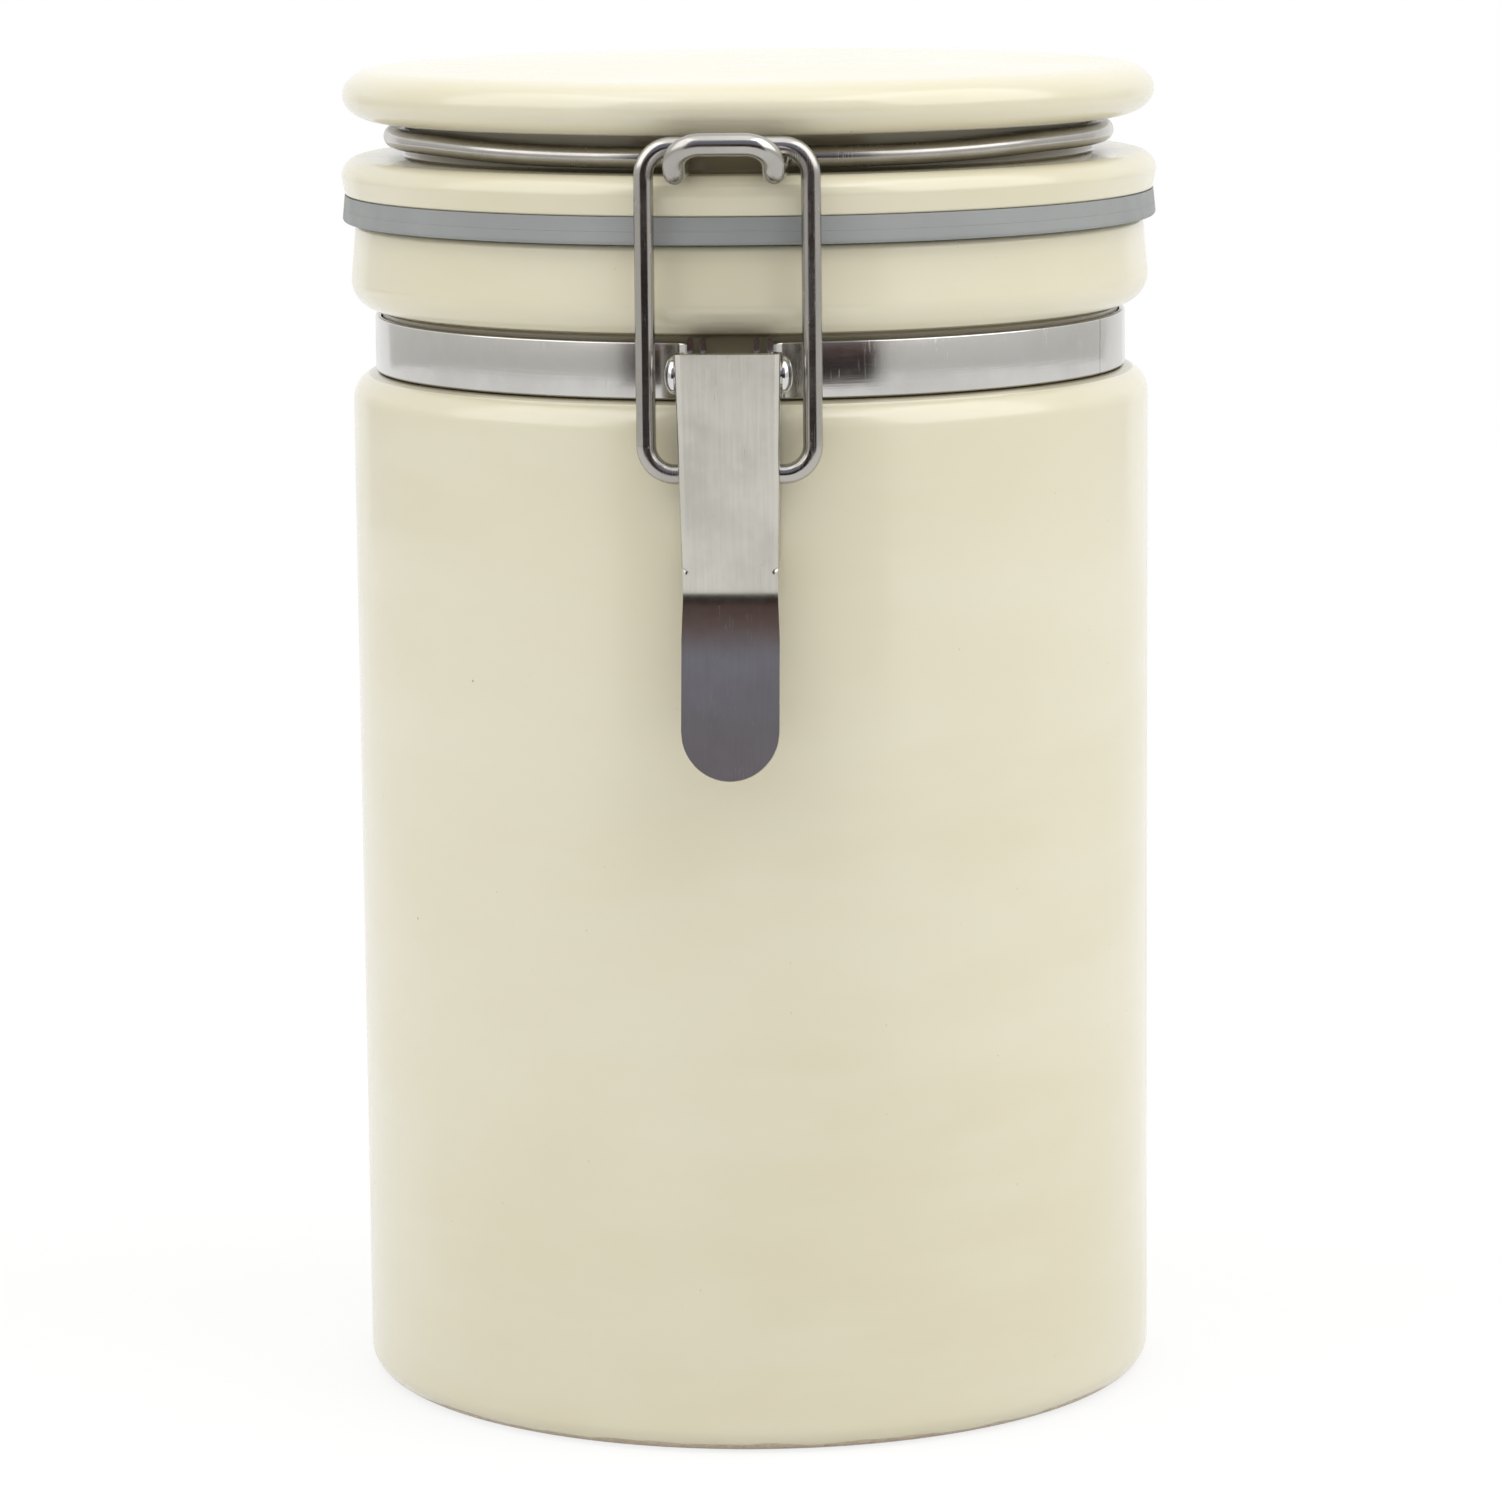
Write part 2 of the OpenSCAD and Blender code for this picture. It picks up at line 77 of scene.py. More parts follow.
_, jar_high = box_mm("jar")
lid_low, lid_high = box_mm("lid")
seal_low, seal_high = box_mm("seal")
ring_low, ring_high = box_mm("lid_ring")
band_low, band_high = box_mm("neck_band")
_, bracket_high = box_mm("hinge_bracket")
_, pin_high = box_mm("pivot_pin")
lever_low, lever_high = box_mm("lever")
_, bail_high = box_mm("bail")
joint_at = {joint["name"]: Vector(joint["pos_m"]) / MM for joint in frame["joints"]}

# Jar
BODY_R = jar_high.x
RIM_Z = jar_high.z
WALL = 5.2
FLOOR_T = 6.0
FOOT_R = 3.0
FOOT_RECESS = 1.4
FOOT_RING_W = 5.0
FOOT_SLOPE = 1.0
SHOULDER_Z = 135.3
SHOULDER_R = 3.7
NECK_R = BODY_R - 4.0
MOUTH_R = NECK_R - 5.4
COLLAR_Z = SHOULDER_Z + 8.2
COLLAR_R = 4.0
RIM_R = 0.9
RIM_LEAN = 0.6
MOUTH_EDGE = 1.2
FLOOR_FILLET = 7.0
INNER_SHOULDER_Z = SHOULDER_Z - 2.0
INNER_SHOULDER_H = 10.0         # height over which the bore widens below the mouth
GLAZE_FILLET = 0.4

# Lid
FLANGE_Z = seal_high.z
FLANGE_EDGE = BODY_R + 1.1
FLANGE_R = 2.6
FLANGE_LOW_R = 0.5
FLANGE_TAPER = 0.4
GROOVE_Z = FLANGE_Z + 5.0
GROOVE_R = FLANGE_EDGE - 8.5
DISC_Z = GROOVE_Z + 4.8
DISC_R = BODY_R + 0.8
DISC_H = 6.7
DISC_EDGE = 4.6
TOP_Z = DISC_Z + DISC_H
CROWN = lid_high.z - TOP_Z
PLUG_R = MOUTH_R - 1.5
PLUG_Z = lid_low.z
PLUG_LEAD = 1.5
PLUG_INNER_EDGE = 1.2
HOLLOW_R = PLUG_R - 6.0
HOLLOW_Z = TOP_Z - 10.0
HOLLOW_FILLET = 5.0

# Seal
LIP_R = 0.5

# Lid ring, hook and hinge
RING_WIRE_R = 1.4
RING_Z = GROOVE_Z + 2.65
RING_PULL = 0.65                # how far the latch pulls the ring down at the front
RING_PULL_FROM = 0.5            # where that starts and over how much, as shares of the ring's radius
RING_PULL_OVER = 0.45
RING_R = ring_high.x - RING_WIRE_R
HOOK_X = 6.1
HOOK_PLAY = 0.3
HOOK_SLOPE = 3.2                # how far back the hook's drop leans
HOOK_TOP_BEND = 3.4
HOOK_LOW_BEND = 2.4
HOOK_REAR_BEND = 3.0
HINGE_X = 7.5
LEG_BEND = 2.4
TURN_BEND = 2.0
ROOT_BEND = 3.0
PINTLE_END = 1.0
WIRE_CAP = 0.35                 # length of the rounding at a wire's end
BARREL_BORE = 1.48
PLATE_T = 1.0
BARREL_W = 10.0
RISER_Y = 54.5                  # inside of the bracket's riser, behind the collar
PAD_INSET = 0.2                 # how far the bracket's pad stays within the band
RIVET_HEAD = 1.7
RIVET_DOME = 0.9
hinge = joint_at["lid_hinge"]

# Latch
pivot = joint_at["lever_pivot"]
bail_pivot = joint_at["bail_pivot"]
BAIL_WIRE_R = 1.25
BAIL_BEND = 3.6
BAIL_END = 5.1
BAIL_X = bail_high.x - BAIL_WIRE_R
BAR_Z = bail_high.z - BAIL_WIRE_R
ARCH_Y = ring_low.y + RING_WIRE_R
ARCH_Z = ring_high.z - RING_WIRE_R
LEG_Z = BAR_Z - RING_WIRE_R - BAIL_WIRE_R - HOOK_PLAY
LEVER_T = 1.0
LEVER_HALF_TOP = 6.6
LEVER_HALF_LOW = 6.05
CHANNEL_Z = 112.5
WEB_TOP_Y = pivot.y - 4.4
WEB_LEAN = 3.0
TAB_BENDS = ((1.8, 8.8), (7.2, 14.5))   # stretches of the tab's bend, each with its angle in degrees at its end
TAB_FLARE = 0.1                 # how much wider on each side the tab is than the channel's end
WAIST = 0.1                     # how much narrower on each side the sheet is where the folded sides end
SIDE_Y = lever_high.y
SIDE_END = 2.6                  # how far above the bend the folded sides end
SIDE_TOP_R = 3.0
SIDE_LOW_H = 2.4                # height and depth of the curve at the sides' lower ends
SIDE_LOW_D = 2.2
LEVER_FOLD = 1.1
PIN_R = 1.5
HEAD_R = 2.4
HEAD_DOME = 1.35
EDGE_R = 0.18                   # rounding of the cut edges

# Neck band
BAND_R = 49.05
BAND_T = 0.8
BAND_Z = band_low.z
BAND_TOP = BAND_Z + 7.3
EAR_R = 2.7
EAR_X = 5.39
EAR_FOLD = 2.45
EAR_FOLD_HALF = 1.2             # half the height of the fold at the ear's front
EAR_FILLET = 1.6
HORN_Y = pivot.y + 3.7          # the horns are the corners that stand up behind the ears
HORN_Z = band_high.z
HORN_FALL = 0.6
RIVET_ANGLE = math.radians(8.4)
PAD_OUT = BAND_R + BAND_T + PLATE_T


# ---------------------------------------------------------------- meshes

def arc(centre, radius, start, end, steps=16, radius_2=None):
    """Points of a round or oval arc in a plane, with its angles in degrees."""
    points = []
    for i in range(steps + 1):
        a = math.radians(start + (end - start) * i / steps)
        points.append((centre[0] + radius * math.cos(a), centre[1] + (radius_2 or radius) * math.sin(a)))
    return points


def with_support(profile, near=0.25, step=6.0):
    """The profile with extra points on its long straight stretches, which keep the shading of its arcs apart."""
    result = []
    for p, q in zip(profile, profile[1:]):
        result.append(p)
        length = math.dist(p, q)
        if length < 4 * near:
            continue
        cuts = max(1, round((length - 2 * near) / step))
        for i in range(cuts + 1):
            t = (near + (length - 2 * near) * i / cuts) / length
            result.append((p[0] + (q[0] - p[0]) * t, p[1] + (q[1] - p[1]) * t))
    result.append(profile[-1])
    return result


def make_object(name, vertices, faces, body, nodes, slot, smooth_angle=40):
    """A smooth-shaded piece in millimetres that rides on a body and stands for CAD nodes."""
    mesh = bpy.data.meshes.new(name)
    mesh.from_pydata([Vector(v) * MM for v in vertices], [], faces)
    shape = bmesh.new()
    shape.from_mesh(mesh)
    bmesh.ops.remove_doubles(shape, verts=shape.verts, dist=1e-7)
    bmesh.ops.recalc_face_normals(shape, faces=shape.faces)
    for edge in shape.edges:
        edge.smooth = len(edge.link_faces) == 2 and edge.calc_face_angle(0) < math.radians(smooth_angle)
    for face in shape.faces:
        face.smooth = True
    shape.to_mesh(mesh)
    shape.free()
    piece = bpy.data.objects.new(name, mesh)
    scene.collection.objects.link(piece)
    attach(piece, body)
    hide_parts(*nodes)
    mesh.materials.append(looks[slot])
    return piece


def revolved(profile, segments=192):
    """Vertices and faces of a solid of revolution. Its profile starts and ends on the axis, or is a closed loop."""
    on_axis = abs(profile[0][0]) < 1e-6
    vertices, rings = [], []
    for r, z in profile:
        if abs(r) < 1e-6:
            rings.append([len(vertices)] * segments)
            vertices.append((0, 0, z))
            continue
        rings.append(list(range(len(vertices), len(vertices) + segments)))
        for i in range(segments):
            a = 2 * math.pi * i / segments
            vertices.append((r * math.cos(a), r * math.sin(a), z))
    faces = []
    pairs = list(zip(rings, rings[1:]))
    if not on_axis:
        pairs.append((rings[-1], rings[0]))
    for low, high in pairs:
        for i in range(segments):
            j = (i + 1) % segments
            face = list(dict.fromkeys([low[i], low[j], high[j], high[i]]))
            if len(face) > 2:
                faces.append(face)
    return vertices, faces


def rounded_path(corners, steps=10):
    """Points along a wire that turns at each corner with that corner's bend radius: corners are (point, radius)."""
    points = [Vector(corners[0][0])]
    for (before, _), (corner, radius), (after, _) in zip(corners, corners[1:], corners[2:]):
        corner, to_before, to_after = Vector(corner), Vector(before) - Vector(corner), Vector(after) - Vector(corner)
        u, v = to_before.normalized(), to_after.normalized()
        half = u.angle(v) / 2
        if radius == 0 or abs(half - math.pi / 2) < 1e-4:
            points.append(corner)
            continue
        reach = radius / math.tan(half)
        centre = corner + (u + v).normalized() * radius / math.sin(half)
        start, end = corner + u * reach - centre, corner + v * reach - centre
        turn = start.angle(end)
        for i in range(steps + 1):
            t = i / steps
            points.append(centre + (start * math.sin((1 - t) * turn) + end * math.sin(t * turn)) / math.sin(turn))
    points.append(Vector(corners[-1][0]))
    return points


def resampled(points, step):
    """The path with its long stretches cut into steps."""
    result = [points[0]]
    for p, q in zip(points, points[1:]):
        cuts = max(1, math.ceil((q - p).length / step))
        result += [p.lerp(q, i / cuts) for i in range(1, cuts + 1)]
    return result


def tube_faces(rows, size):
    """Faces of a closed tube whose vertices are rows of points round it, and of its two ends."""
    faces = [
        (i * size + k, i * size + (k + 1) % size, (i + 1) * size + (k + 1) % size, (i + 1) * size + k)
        for i in range(rows - 1) for k in range(size)
    ]
    faces.append(tuple(range(size)))
    faces.append(tuple(range((rows - 1) * size, rows * size)))
    return faces


def tangent(path, i):
    """Direction of a path at one of its points."""
    return (Vector(path[min(i + 1, len(path) - 1)]) - Vector(path[max(i - 1, 0)])).normalized()


def swept(path, radius, sides=24, cap=WIRE_CAP):
    """Vertices and faces of a round wire along a path, with rounded ends."""
    tangents = [tangent(path, i) for i in range(len(path))]
    normal = tangents[0].orthogonal().normalized()
    rings = []
    for i, (p, t) in enumerate(zip(path, tangents)):
        normal = (normal - t * normal.dot(t)).normalized()
        rings.append((p, normal.copy(), t.cross(normal), radius))
    ends = []
    for end, sign in ((0, -1), (-1, 1)):
        p, n, b, _ = rings[end]
        t = tangents[end] * sign
        steps = [math.radians(a) for a in (30, 60, 90)]
        ends.append([(p + t * cap * math.sin(a), n, b, radius - cap * (1 - math.cos(a))) for a in steps])
    rings = ends[0][::-1] + rings + ends[1]
    vertices = []
    for p, n, b, r in rings:
        for k in range(sides):
            a = 2 * math.pi * k / sides
            vertices.append(p + n * r * math.cos(a) + b * r * math.sin(a))
    return vertices, tube_faces(len(rings), sides)


def strip(path, ranges, thickness, place, edge=0.25):
    """Vertices and faces of sheet metal that follows a plane path, with its edges rounded by a radius.

    Ranges gives the strip's two edges at each point, and place turns (path x, path y, height) into a point in space.
    """
    sections = []
    for i, (p, (low, high)) in enumerate(zip(path, ranges)):
        t = tangent(path, i)
        n = Vector((t.y, -t.x))
        half = thickness / 2
        outline = arc((half - edge, high - edge), edge, 0, 90, 3) + arc((edge - half, high - edge), edge, 90, 180, 3)
        outline += arc((edge - half, low + edge), edge, 180, 270, 3) + arc((half - edge, low + edge), edge, 270, 360, 3)
        sections.append([place(p[0] + n.x * s, p[1] + n.y * s, h) for s, h in outline])
    return [v for section in sections for v in section], tube_faces(len(sections), len(sections[0]))


def joined(*parts):
    """Several sets of vertices and faces as one."""
    vertices, faces = [], []
    for part_vertices, part_faces in parts:
        faces += [tuple(i + len(vertices) for i in face) for face in part_faces]
        vertices += list(part_vertices)
    return vertices, faces


def along_x(part, centre, side):
    """A part made round the Z axis, laid along X about a centre, with its top towards the side."""
    vertices, faces = part
    return [(centre[0] + side * v[2], centre[1] + v[0], centre[2] + v[1]) for v in vertices], faces


# ---------------------------------------------------------------- materials

def node(tree, kind, inputs=None, **settings):
    """A shader node with its settings, and its inputs set to a number, a colour or another node's output."""
    made = tree.nodes.new(kind)
    for key, value in settings.items():
        setattr(made, key, value)
    for key, value in (inputs or {}).items():
        if isinstance(value, bpy.types.NodeSocket):
            tree.links.new(value, made.inputs[key])
        else:
            made.inputs[key].default_value = value
    return made


def math_node(tree, operation, a, b=0.0, clamp=False):
    """The result of an operation on two numbers or outputs."""
    return node(tree, "ShaderNodeMath", {0: a, 1: b}, operation=operation, use_clamp=clamp).outputs[0]


def remap(tree, value, low, high, to_low=0.0, to_high=1.0):
    """The value's range low to high, laid smoothly onto another range."""
    return node(tree, "ShaderNodeMapRange", {
        "Value": value, "From Min": low, "From Max": high, "To Min": to_low, "To Max": to_high
    }, interpolation_type="SMOOTHSTEP").outputs["Result"]


def mix(tree, share, a, b):
    """Colour a, turning into colour b as the share goes from 0 to 1."""
    made = node(tree, "ShaderNodeMix", data_type="RGBA")
    for index, value in ((0, share), (6, a), (7, b)):
        if isinstance(value, bpy.types.NodeSocket):
            tree.links.new(value, made.inputs[index])
        else:
            made.inputs[index].default_value = value if index == 0 else (*value, 1)
    return made.outputs[2]


def stained_or_shaded(tree, colour, mask, strength, stain_or_shade):
    """The colour with another colour laid over it where the mask is, at most as dense as the strength: real stains,
    specks and dust, and in the glaze's grooves painted shade.
    """
    return mix(tree, math_node(tree, "MULTIPLY", mask, strength), colour, stain_or_shade)


def noise(tree, place, scale, detail=2.0, roughness=0.5, stretch=(1, 1, 1), turn=(0, 0, 0)):
    """Noise between about 0.3 and 0.7, in cells of 1 / scale metres, which stretch makes longer where it is below 1."""
    if stretch != (1, 1, 1) or turn != (0, 0, 0):
        place = node(tree, "ShaderNodeMapping", {"Vector": place, "Scale": stretch, "Rotation": turn}).outputs[0]
    return node(tree, "ShaderNodeTexNoise", {
        "Vector": place, "Scale": scale, "Detail": detail, "Roughness": roughness
    }).outputs["Fac"]


def specks(tree, place, scale, rarity, core, edge, channel="X"):
    """A mask of round specks in cells of 1 / scale metres, left out of the share of the cells that rarity gives."""
    cells = node(tree, "ShaderNodeTexVoronoi", {"Vector": place, "Scale": scale})
    drawn = coordinate(tree, cells.outputs["Color"], channel)
    spot = remap(tree, cells.outputs["Distance"], core, edge, 1, 0)
    return math_node(tree, "MULTIPLY", spot, math_node(tree, "GREATER_THAN", drawn, rarity))


def line_at(tree, value, centre, core, edge):
    """A mask of the thin line where a value is at its centre."""
    distance = math_node(tree, "ABSOLUTE", math_node(tree, "SUBTRACT", value, centre))
    return remap(tree, distance, core, edge, 1, 0)


def coordinate(tree, vector, axis):
    """One coordinate of a vector."""
    return node(tree, "ShaderNodeSeparateXYZ", {0: vector}).outputs[axis]


def angle_at(tree, place):
    """Angle about the Z axis."""
    return math_node(tree, "ARCTAN2", coordinate(tree, place, "Y"), coordinate(tree, place, "X"))


def radius_at(tree, place):
    """Distance from the Z axis."""
    x, y = coordinate(tree, place, "X"), coordinate(tree, place, "Y")
    square = math_node(tree, "ADD", math_node(tree, "MULTIPLY", x, x), math_node(tree, "MULTIPLY", y, y))
    return math_node(tree, "SQRT", square)


def round_the_axis(tree, place):
    """Coordinates that run along a ring about Z: its angle, its radius and its height."""
    return node(tree, "ShaderNodeCombineXYZ", {
        0: angle_at(tree, place), 1: radius_at(tree, place), 2: coordinate(tree, place, "Z")
    }).outputs[0]


def bumped(tree, *layers):
    """The surface's normal with layers of relief, each given as (height socket, depth in metres)."""
    normal = None
    for height, depth in layers:
        inputs = {"Height": height, "Distance": depth, "Strength": 1.0}
        if normal:
            inputs["Normal"] = normal
        normal = node(tree, "ShaderNodeBump", inputs).outputs["Normal"]
    return normal


def new_material(name, **constants):
    """A material, its tree, its main shader with constant inputs, and its object coordinates."""
    material = bpy.data.materials.new(name)
    material.use_nodes = True
    tree = material.node_tree
    shader = tree.nodes["Principled BSDF"]
    for key, value in constants.items():
        shader.inputs[key.replace("_", " ")].default_value = value
    return material, tree, shader, node(tree, "ShaderNodeTexCoord").outputs["Object"]


def connect(tree, shader, **sockets):
    """Links outputs to the shader's inputs of the same names."""
    for key, socket in sockets.items():
        tree.links.new(socket, shader.inputs[key.replace("_", " ")])


def groove(tree, height, radius, low, high, floor_r, behind=0.5, reach=4.2):
    """A mask for painted shade: a groove's inside between two heights.

    It starts a little behind the groove's floor and fades out at the distance reach in front of it.
    """
    inside = math_node(tree, "MULTIPLY", math_node(tree, "GREATER_THAN", height, (low - GLAZE_FILLET) * MM),
                       math_node(tree, "LESS_THAN", height, (high + GLAZE_FILLET) * MM))
    deep = remap(tree, radius, (floor_r + GLAZE_FILLET) * MM, (floor_r + reach) * MM, 1, 0)
    outer = math_node(tree, "GREATER_THAN", radius, (floor_r - behind) * MM)
    return math_node(tree, "MULTIPLY", math_node(tree, "MULTIPLY", inside, deep), outer)


def make_glaze():
    """Cream glaze on stoneware, with sparse iron specks, faint turning marks, shade painted dark into the two grooves
    and a bare foot.
    """
    material, tree, shader, place = new_material("cream_glaze", IOR=1.5, Coat_Weight=0.35, Coat_Roughness=0.05)
    cloud = remap(tree, noise(tree, place, 13, 3), 0.35, 0.65)
    streak = remap(tree, noise(tree, place, 30, 3, stretch=(1, 1, 3.5)), 0.35, 0.7)
    colour = mix(tree, cloud, (0.728, 0.682, 0.515), (0.69, 0.640, 0.462))
    colour = stained_or_shaded(tree, colour, streak, 0.35, (0.75, 0.712, 0.565))
    speck = specks(tree, place, 120, 0.72, 0.012, 0.026)
    colour = stained_or_shaded(tree, colour, speck, 0.6, (0.24, 0.17, 0.10))
    faint_speck = specks(tree, place, 420, 0.86, 0.03, 0.06)
    colour = stained_or_shaded(tree, colour, faint_speck, 0.4, (0.42, 0.32, 0.20))

    height = coordinate(tree, place, "Z")
    ragged = math_node(tree, "ADD", height, remap(tree, noise(tree, place, 90, 3), 0.3, 0.7, -0.0003, 0.0003))
    bare = remap(tree, ragged, 0.0009, 0.0012, 1, 0)
    radius = radius_at(tree, place)
    # Painted shade: the neck groove above the band and the lid's wire groove under the disc are darkened towards a dark
    # olive brown, nine tenths deep at their floors.
    neck = groove(tree, height, radius, SHOULDER_Z, COLLAR_Z, NECK_R)
    wire_groove_shade = groove(tree, height, radius, GROOVE_Z, DISC_Z, GROOVE_R)
    colour = stained_or_shaded(tree, colour, math_node(tree, "MAXIMUM", neck, wire_groove_shade), 0.9, (0.26, 0.22, 0.13))
    grain = noise(tree, place, 900, 4, 0.7)
    clay = mix(tree, remap(tree, grain, 0.35, 0.65), (0.50, 0.40, 0.28), (0.62, 0.52, 0.39))
    colour = mix(tree, bare, colour, clay)
    rough = remap(tree, noise(tree, place, 45, 4), 0.3, 0.7, 0.17, 0.25)
    rough = math_node(tree, "ADD", rough, math_node(tree, "MULTIPLY", bare, 0.6), clamp=True)
    turning = noise(tree, place, 1.0, 2, stretch=(5, 5, 260))
    waves = noise(tree, place, 38, 1, stretch=(1, 1, 1.6))
    peel = noise(tree, place, 650, 2)
    normal = bumped(
        tree, (waves, 0.00025), (turning, 0.00005), (peel, 0.000008),
        (math_node(tree, "MULTIPLY", speck, -1), 0.00004), (math_node(tree, "MULTIPLY", grain, bare), 0.0004)
    )
    connect(tree, shader, Base_Color=colour, Roughness=rough, Normal=normal)
    return material


def make_silicone():
    """Grey moulded silicone with a matt skin, a mould line and a little dust."""
    material, tree, shader, place = new_material("grey_silicone", IOR=1.42, Specular_IOR_Level=0.4)
    cloud = remap(tree, noise(tree, place, 40, 4), 0.35, 0.65)
    colour = mix(tree, cloud, (0.277, 0.287, 0.281), (0.311, 0.320, 0.313))
    dust = specks(tree, place, 330, 0.8, 0.03, 0.07, "Y")
    colour = stained_or_shaded(tree, colour, dust, 0.6, (0.72, 0.73, 0.72))
    mould_line = line_at(tree, coordinate(tree, place, "Z"), (seal_low.z + seal_high.z) / 2 * MM, 0.00004, 0.00012)
    rough = remap(tree, noise(tree, place, 260, 3), 0.3, 0.7, 0.46, 0.62)
    skin = noise(tree, place, 2600, 2)
    normal = bumped(tree, (noise(tree, place, 120, 2), 0.00006), (mould_line, 0.00004), (skin, 0.000012))
    connect(tree, shader, Base_Color=colour, Roughness=rough, Normal=normal)
    return material


def steel(name, light, dark, roughness, relief, marks, turns=(0.5, -0.9, 1.35), finish=None):
    """Stainless steel with fine marks along its drawing or rolling direction, scratches in three directions and stains.

    Marks gives the height of the fine marks, and finish adds a piece's own details to the colour.
    """
    material, tree, shader, place = new_material(name, Metallic=1.0)
    lines = marks(tree, place)
    cloud = remap(tree, noise(tree, place, 70, 4, 0.6), 0.35, 0.68)
    colour = mix(tree, cloud, light, dark)
    scratches = None
    for turn, scale in zip(turns, (260, 330, 210)):
        thin = noise(tree, place, scale, 1, stretch=(7, 1, 0.22), turn=(0, turn, 0))
        gate = remap(tree, noise(tree, place, 150 + scale / 3, 2), 0.58, 0.68)
        line = math_node(tree, "MULTIPLY", line_at(tree, thin, 0.5, 0.0, 0.012), gate)
        scratches = line if scratches is None else math_node(tree, "MAXIMUM", scratches, line)
    colour = stained_or_shaded(tree, colour, scratches, 0.16, tuple(c * 1.2 for c in light))
    rough = math_node(tree, "ADD", cloud, math_node(tree, "MULTIPLY", lines, 0.8))
    rough = remap(tree, rough, 0.2, 1.4, *roughness)
    rough = math_node(tree, "ADD", rough, math_node(tree, "MULTIPLY", scratches, 0.12), clamp=True)
    normal = bumped(tree, (noise(tree, place, 160, 2), relief), (lines, relief / 6), (scratches, -0.000003))
    if finish:
        colour = finish(tree, place, colour)
    connect(tree, shader, Base_Color=colour, Roughness=rough, Normal=normal)
    return material


def drawn_marks(tree, place):
    """Lines along the wire, round the jar."""
    return noise(tree, round_the_axis(tree, place), 1.0, 3, stretch=(9, 2600, 2600))


def rolled_marks(tree, place):
    """Lines along the band, round the jar."""
    return noise(tree, round_the_axis(tree, place), 1.0, 4, stretch=(5, 300, 3200))


def brush_marks(tree, place):
    """Lines down the lever."""
    return noise(tree, place, 1.0, 4, stretch=(2600, 600, 90))


def turned_marks(tree, place):
    """Grain without a direction."""
    return noise(tree, place, 1400, 3)


def strap_mark(tree, place, colour):
    """A thin dark upright line across the band, to the right of the latch."""
    wander = remap(tree, noise(tree, place, 500, 2), 0.3, 0.7, -0.002, 0.002)
    line = line_at(tree, math_node(tree, "ADD", angle_at(tree, place), wander), math.radians(-21.5), 0.0012, 0.0030)
    return stained_or_shaded(tree, colour, line, 0.75, (0.16, 0.14, 0.13))


def lever_haze(tree, place, colour):
    """Dull blotches and brushing on the lever."""
    haze = remap(tree, noise(tree, place, 230, 5, 0.7), 0.5, 0.72)
    colour = stained_or_shaded(tree, colour, haze, 0.4, (0.50, 0.49, 0.455))
    return mix(tree, remap(tree, brush_marks(tree, place), 0.35, 0.65, 0.0, 0.14), colour, (0.46, 0.445, 0.41))


looks = {
    "glaze": make_glaze(),
    "silicone": make_silicone(),
    "wire": steel("wire_steel", (0.445, 0.427, 0.40), (0.375, 0.358, 0.333), (0.15, 0.25), 0.00003, drawn_marks),
    "band_steel": steel("band_steel", (0.585, 0.575, 0.555), (0.53, 0.52, 0.495), (0.12, 0.21), 0.00003, rolled_marks,
                        (1.47, 1.60, 1.72), strap_mark),
    "lever_steel": steel("lever_steel", (0.585, 0.566, 0.512), (0.54, 0.522, 0.463), (0.15, 0.22), 0.00002, brush_marks,
                         finish=lever_haze),
    "pin_steel": steel("pin_steel", (0.66, 0.65, 0.64), (0.58, 0.57, 0.56), (0.10, 0.18), 0.00001, turned_marks),
}


# ---------------------------------------------------------------- pieces

def eased(s):
    """A share from 0 to 1 that starts and ends smoothly."""
    return (1 - math.cos(math.pi * s)) / 2


def make_jar():
    """The jar: foot with a recess, wall, shoulder, neck, collar and rim."""
    ring_in = BODY_R - FOOT_R - FOOT_RING_W
    outside = [(0, FOOT_RECESS), (ring_in - FOOT_SLOPE, FOOT_RECESS), (ring_in, 0)]
    outside += arc((BODY_R - FOOT_R, FOOT_R), FOOT_R, -90, 0)
    outside += arc((BODY_R - SHOULDER_R, SHOULDER_Z - SHOULDER_R), SHOULDER_R, 0, 90, 20)
    outside += arc((NECK_R + GLAZE_FILLET, SHOULDER_Z + GLAZE_FILLET), GLAZE_FILLET, 270, 180, 6)
    outside += arc((NECK_R + GLAZE_FILLET, COLLAR_Z - GLAZE_FILLET), GLAZE_FILLET, 180, 95, 6)
    outside += arc((BODY_R - COLLAR_R, COLLAR_Z + COLLAR_R), COLLAR_R, -88, 0, 20)
    outside += arc((BODY_R - RIM_LEAN - RIM_R, RIM_Z - RIM_R), RIM_R, 5, 90, 8)
    inside = arc((MOUTH_R + MOUTH_EDGE, RIM_Z - MOUTH_EDGE), MOUTH_EDGE, 90, 180, 8)
    inner_r = BODY_R - WALL
    steps = 16
    for i in range(steps + 1):
        s = i / steps
        inside.append((MOUTH_R + (inner_r - MOUTH_R) * eased(s), INNER_SHOULDER_Z - INNER_SHOULDER_H * s))
    inside += arc((inner_r - FLOOR_FILLET, FLOOR_T + FLOOR_FILLET), FLOOR_FILLET, 0, -90)
    inside.append((0, FLOOR_T))
    return make_object("stoneware_jar", *revolved(with_support(outside + inside)), "jar", ["jar"], "glaze")


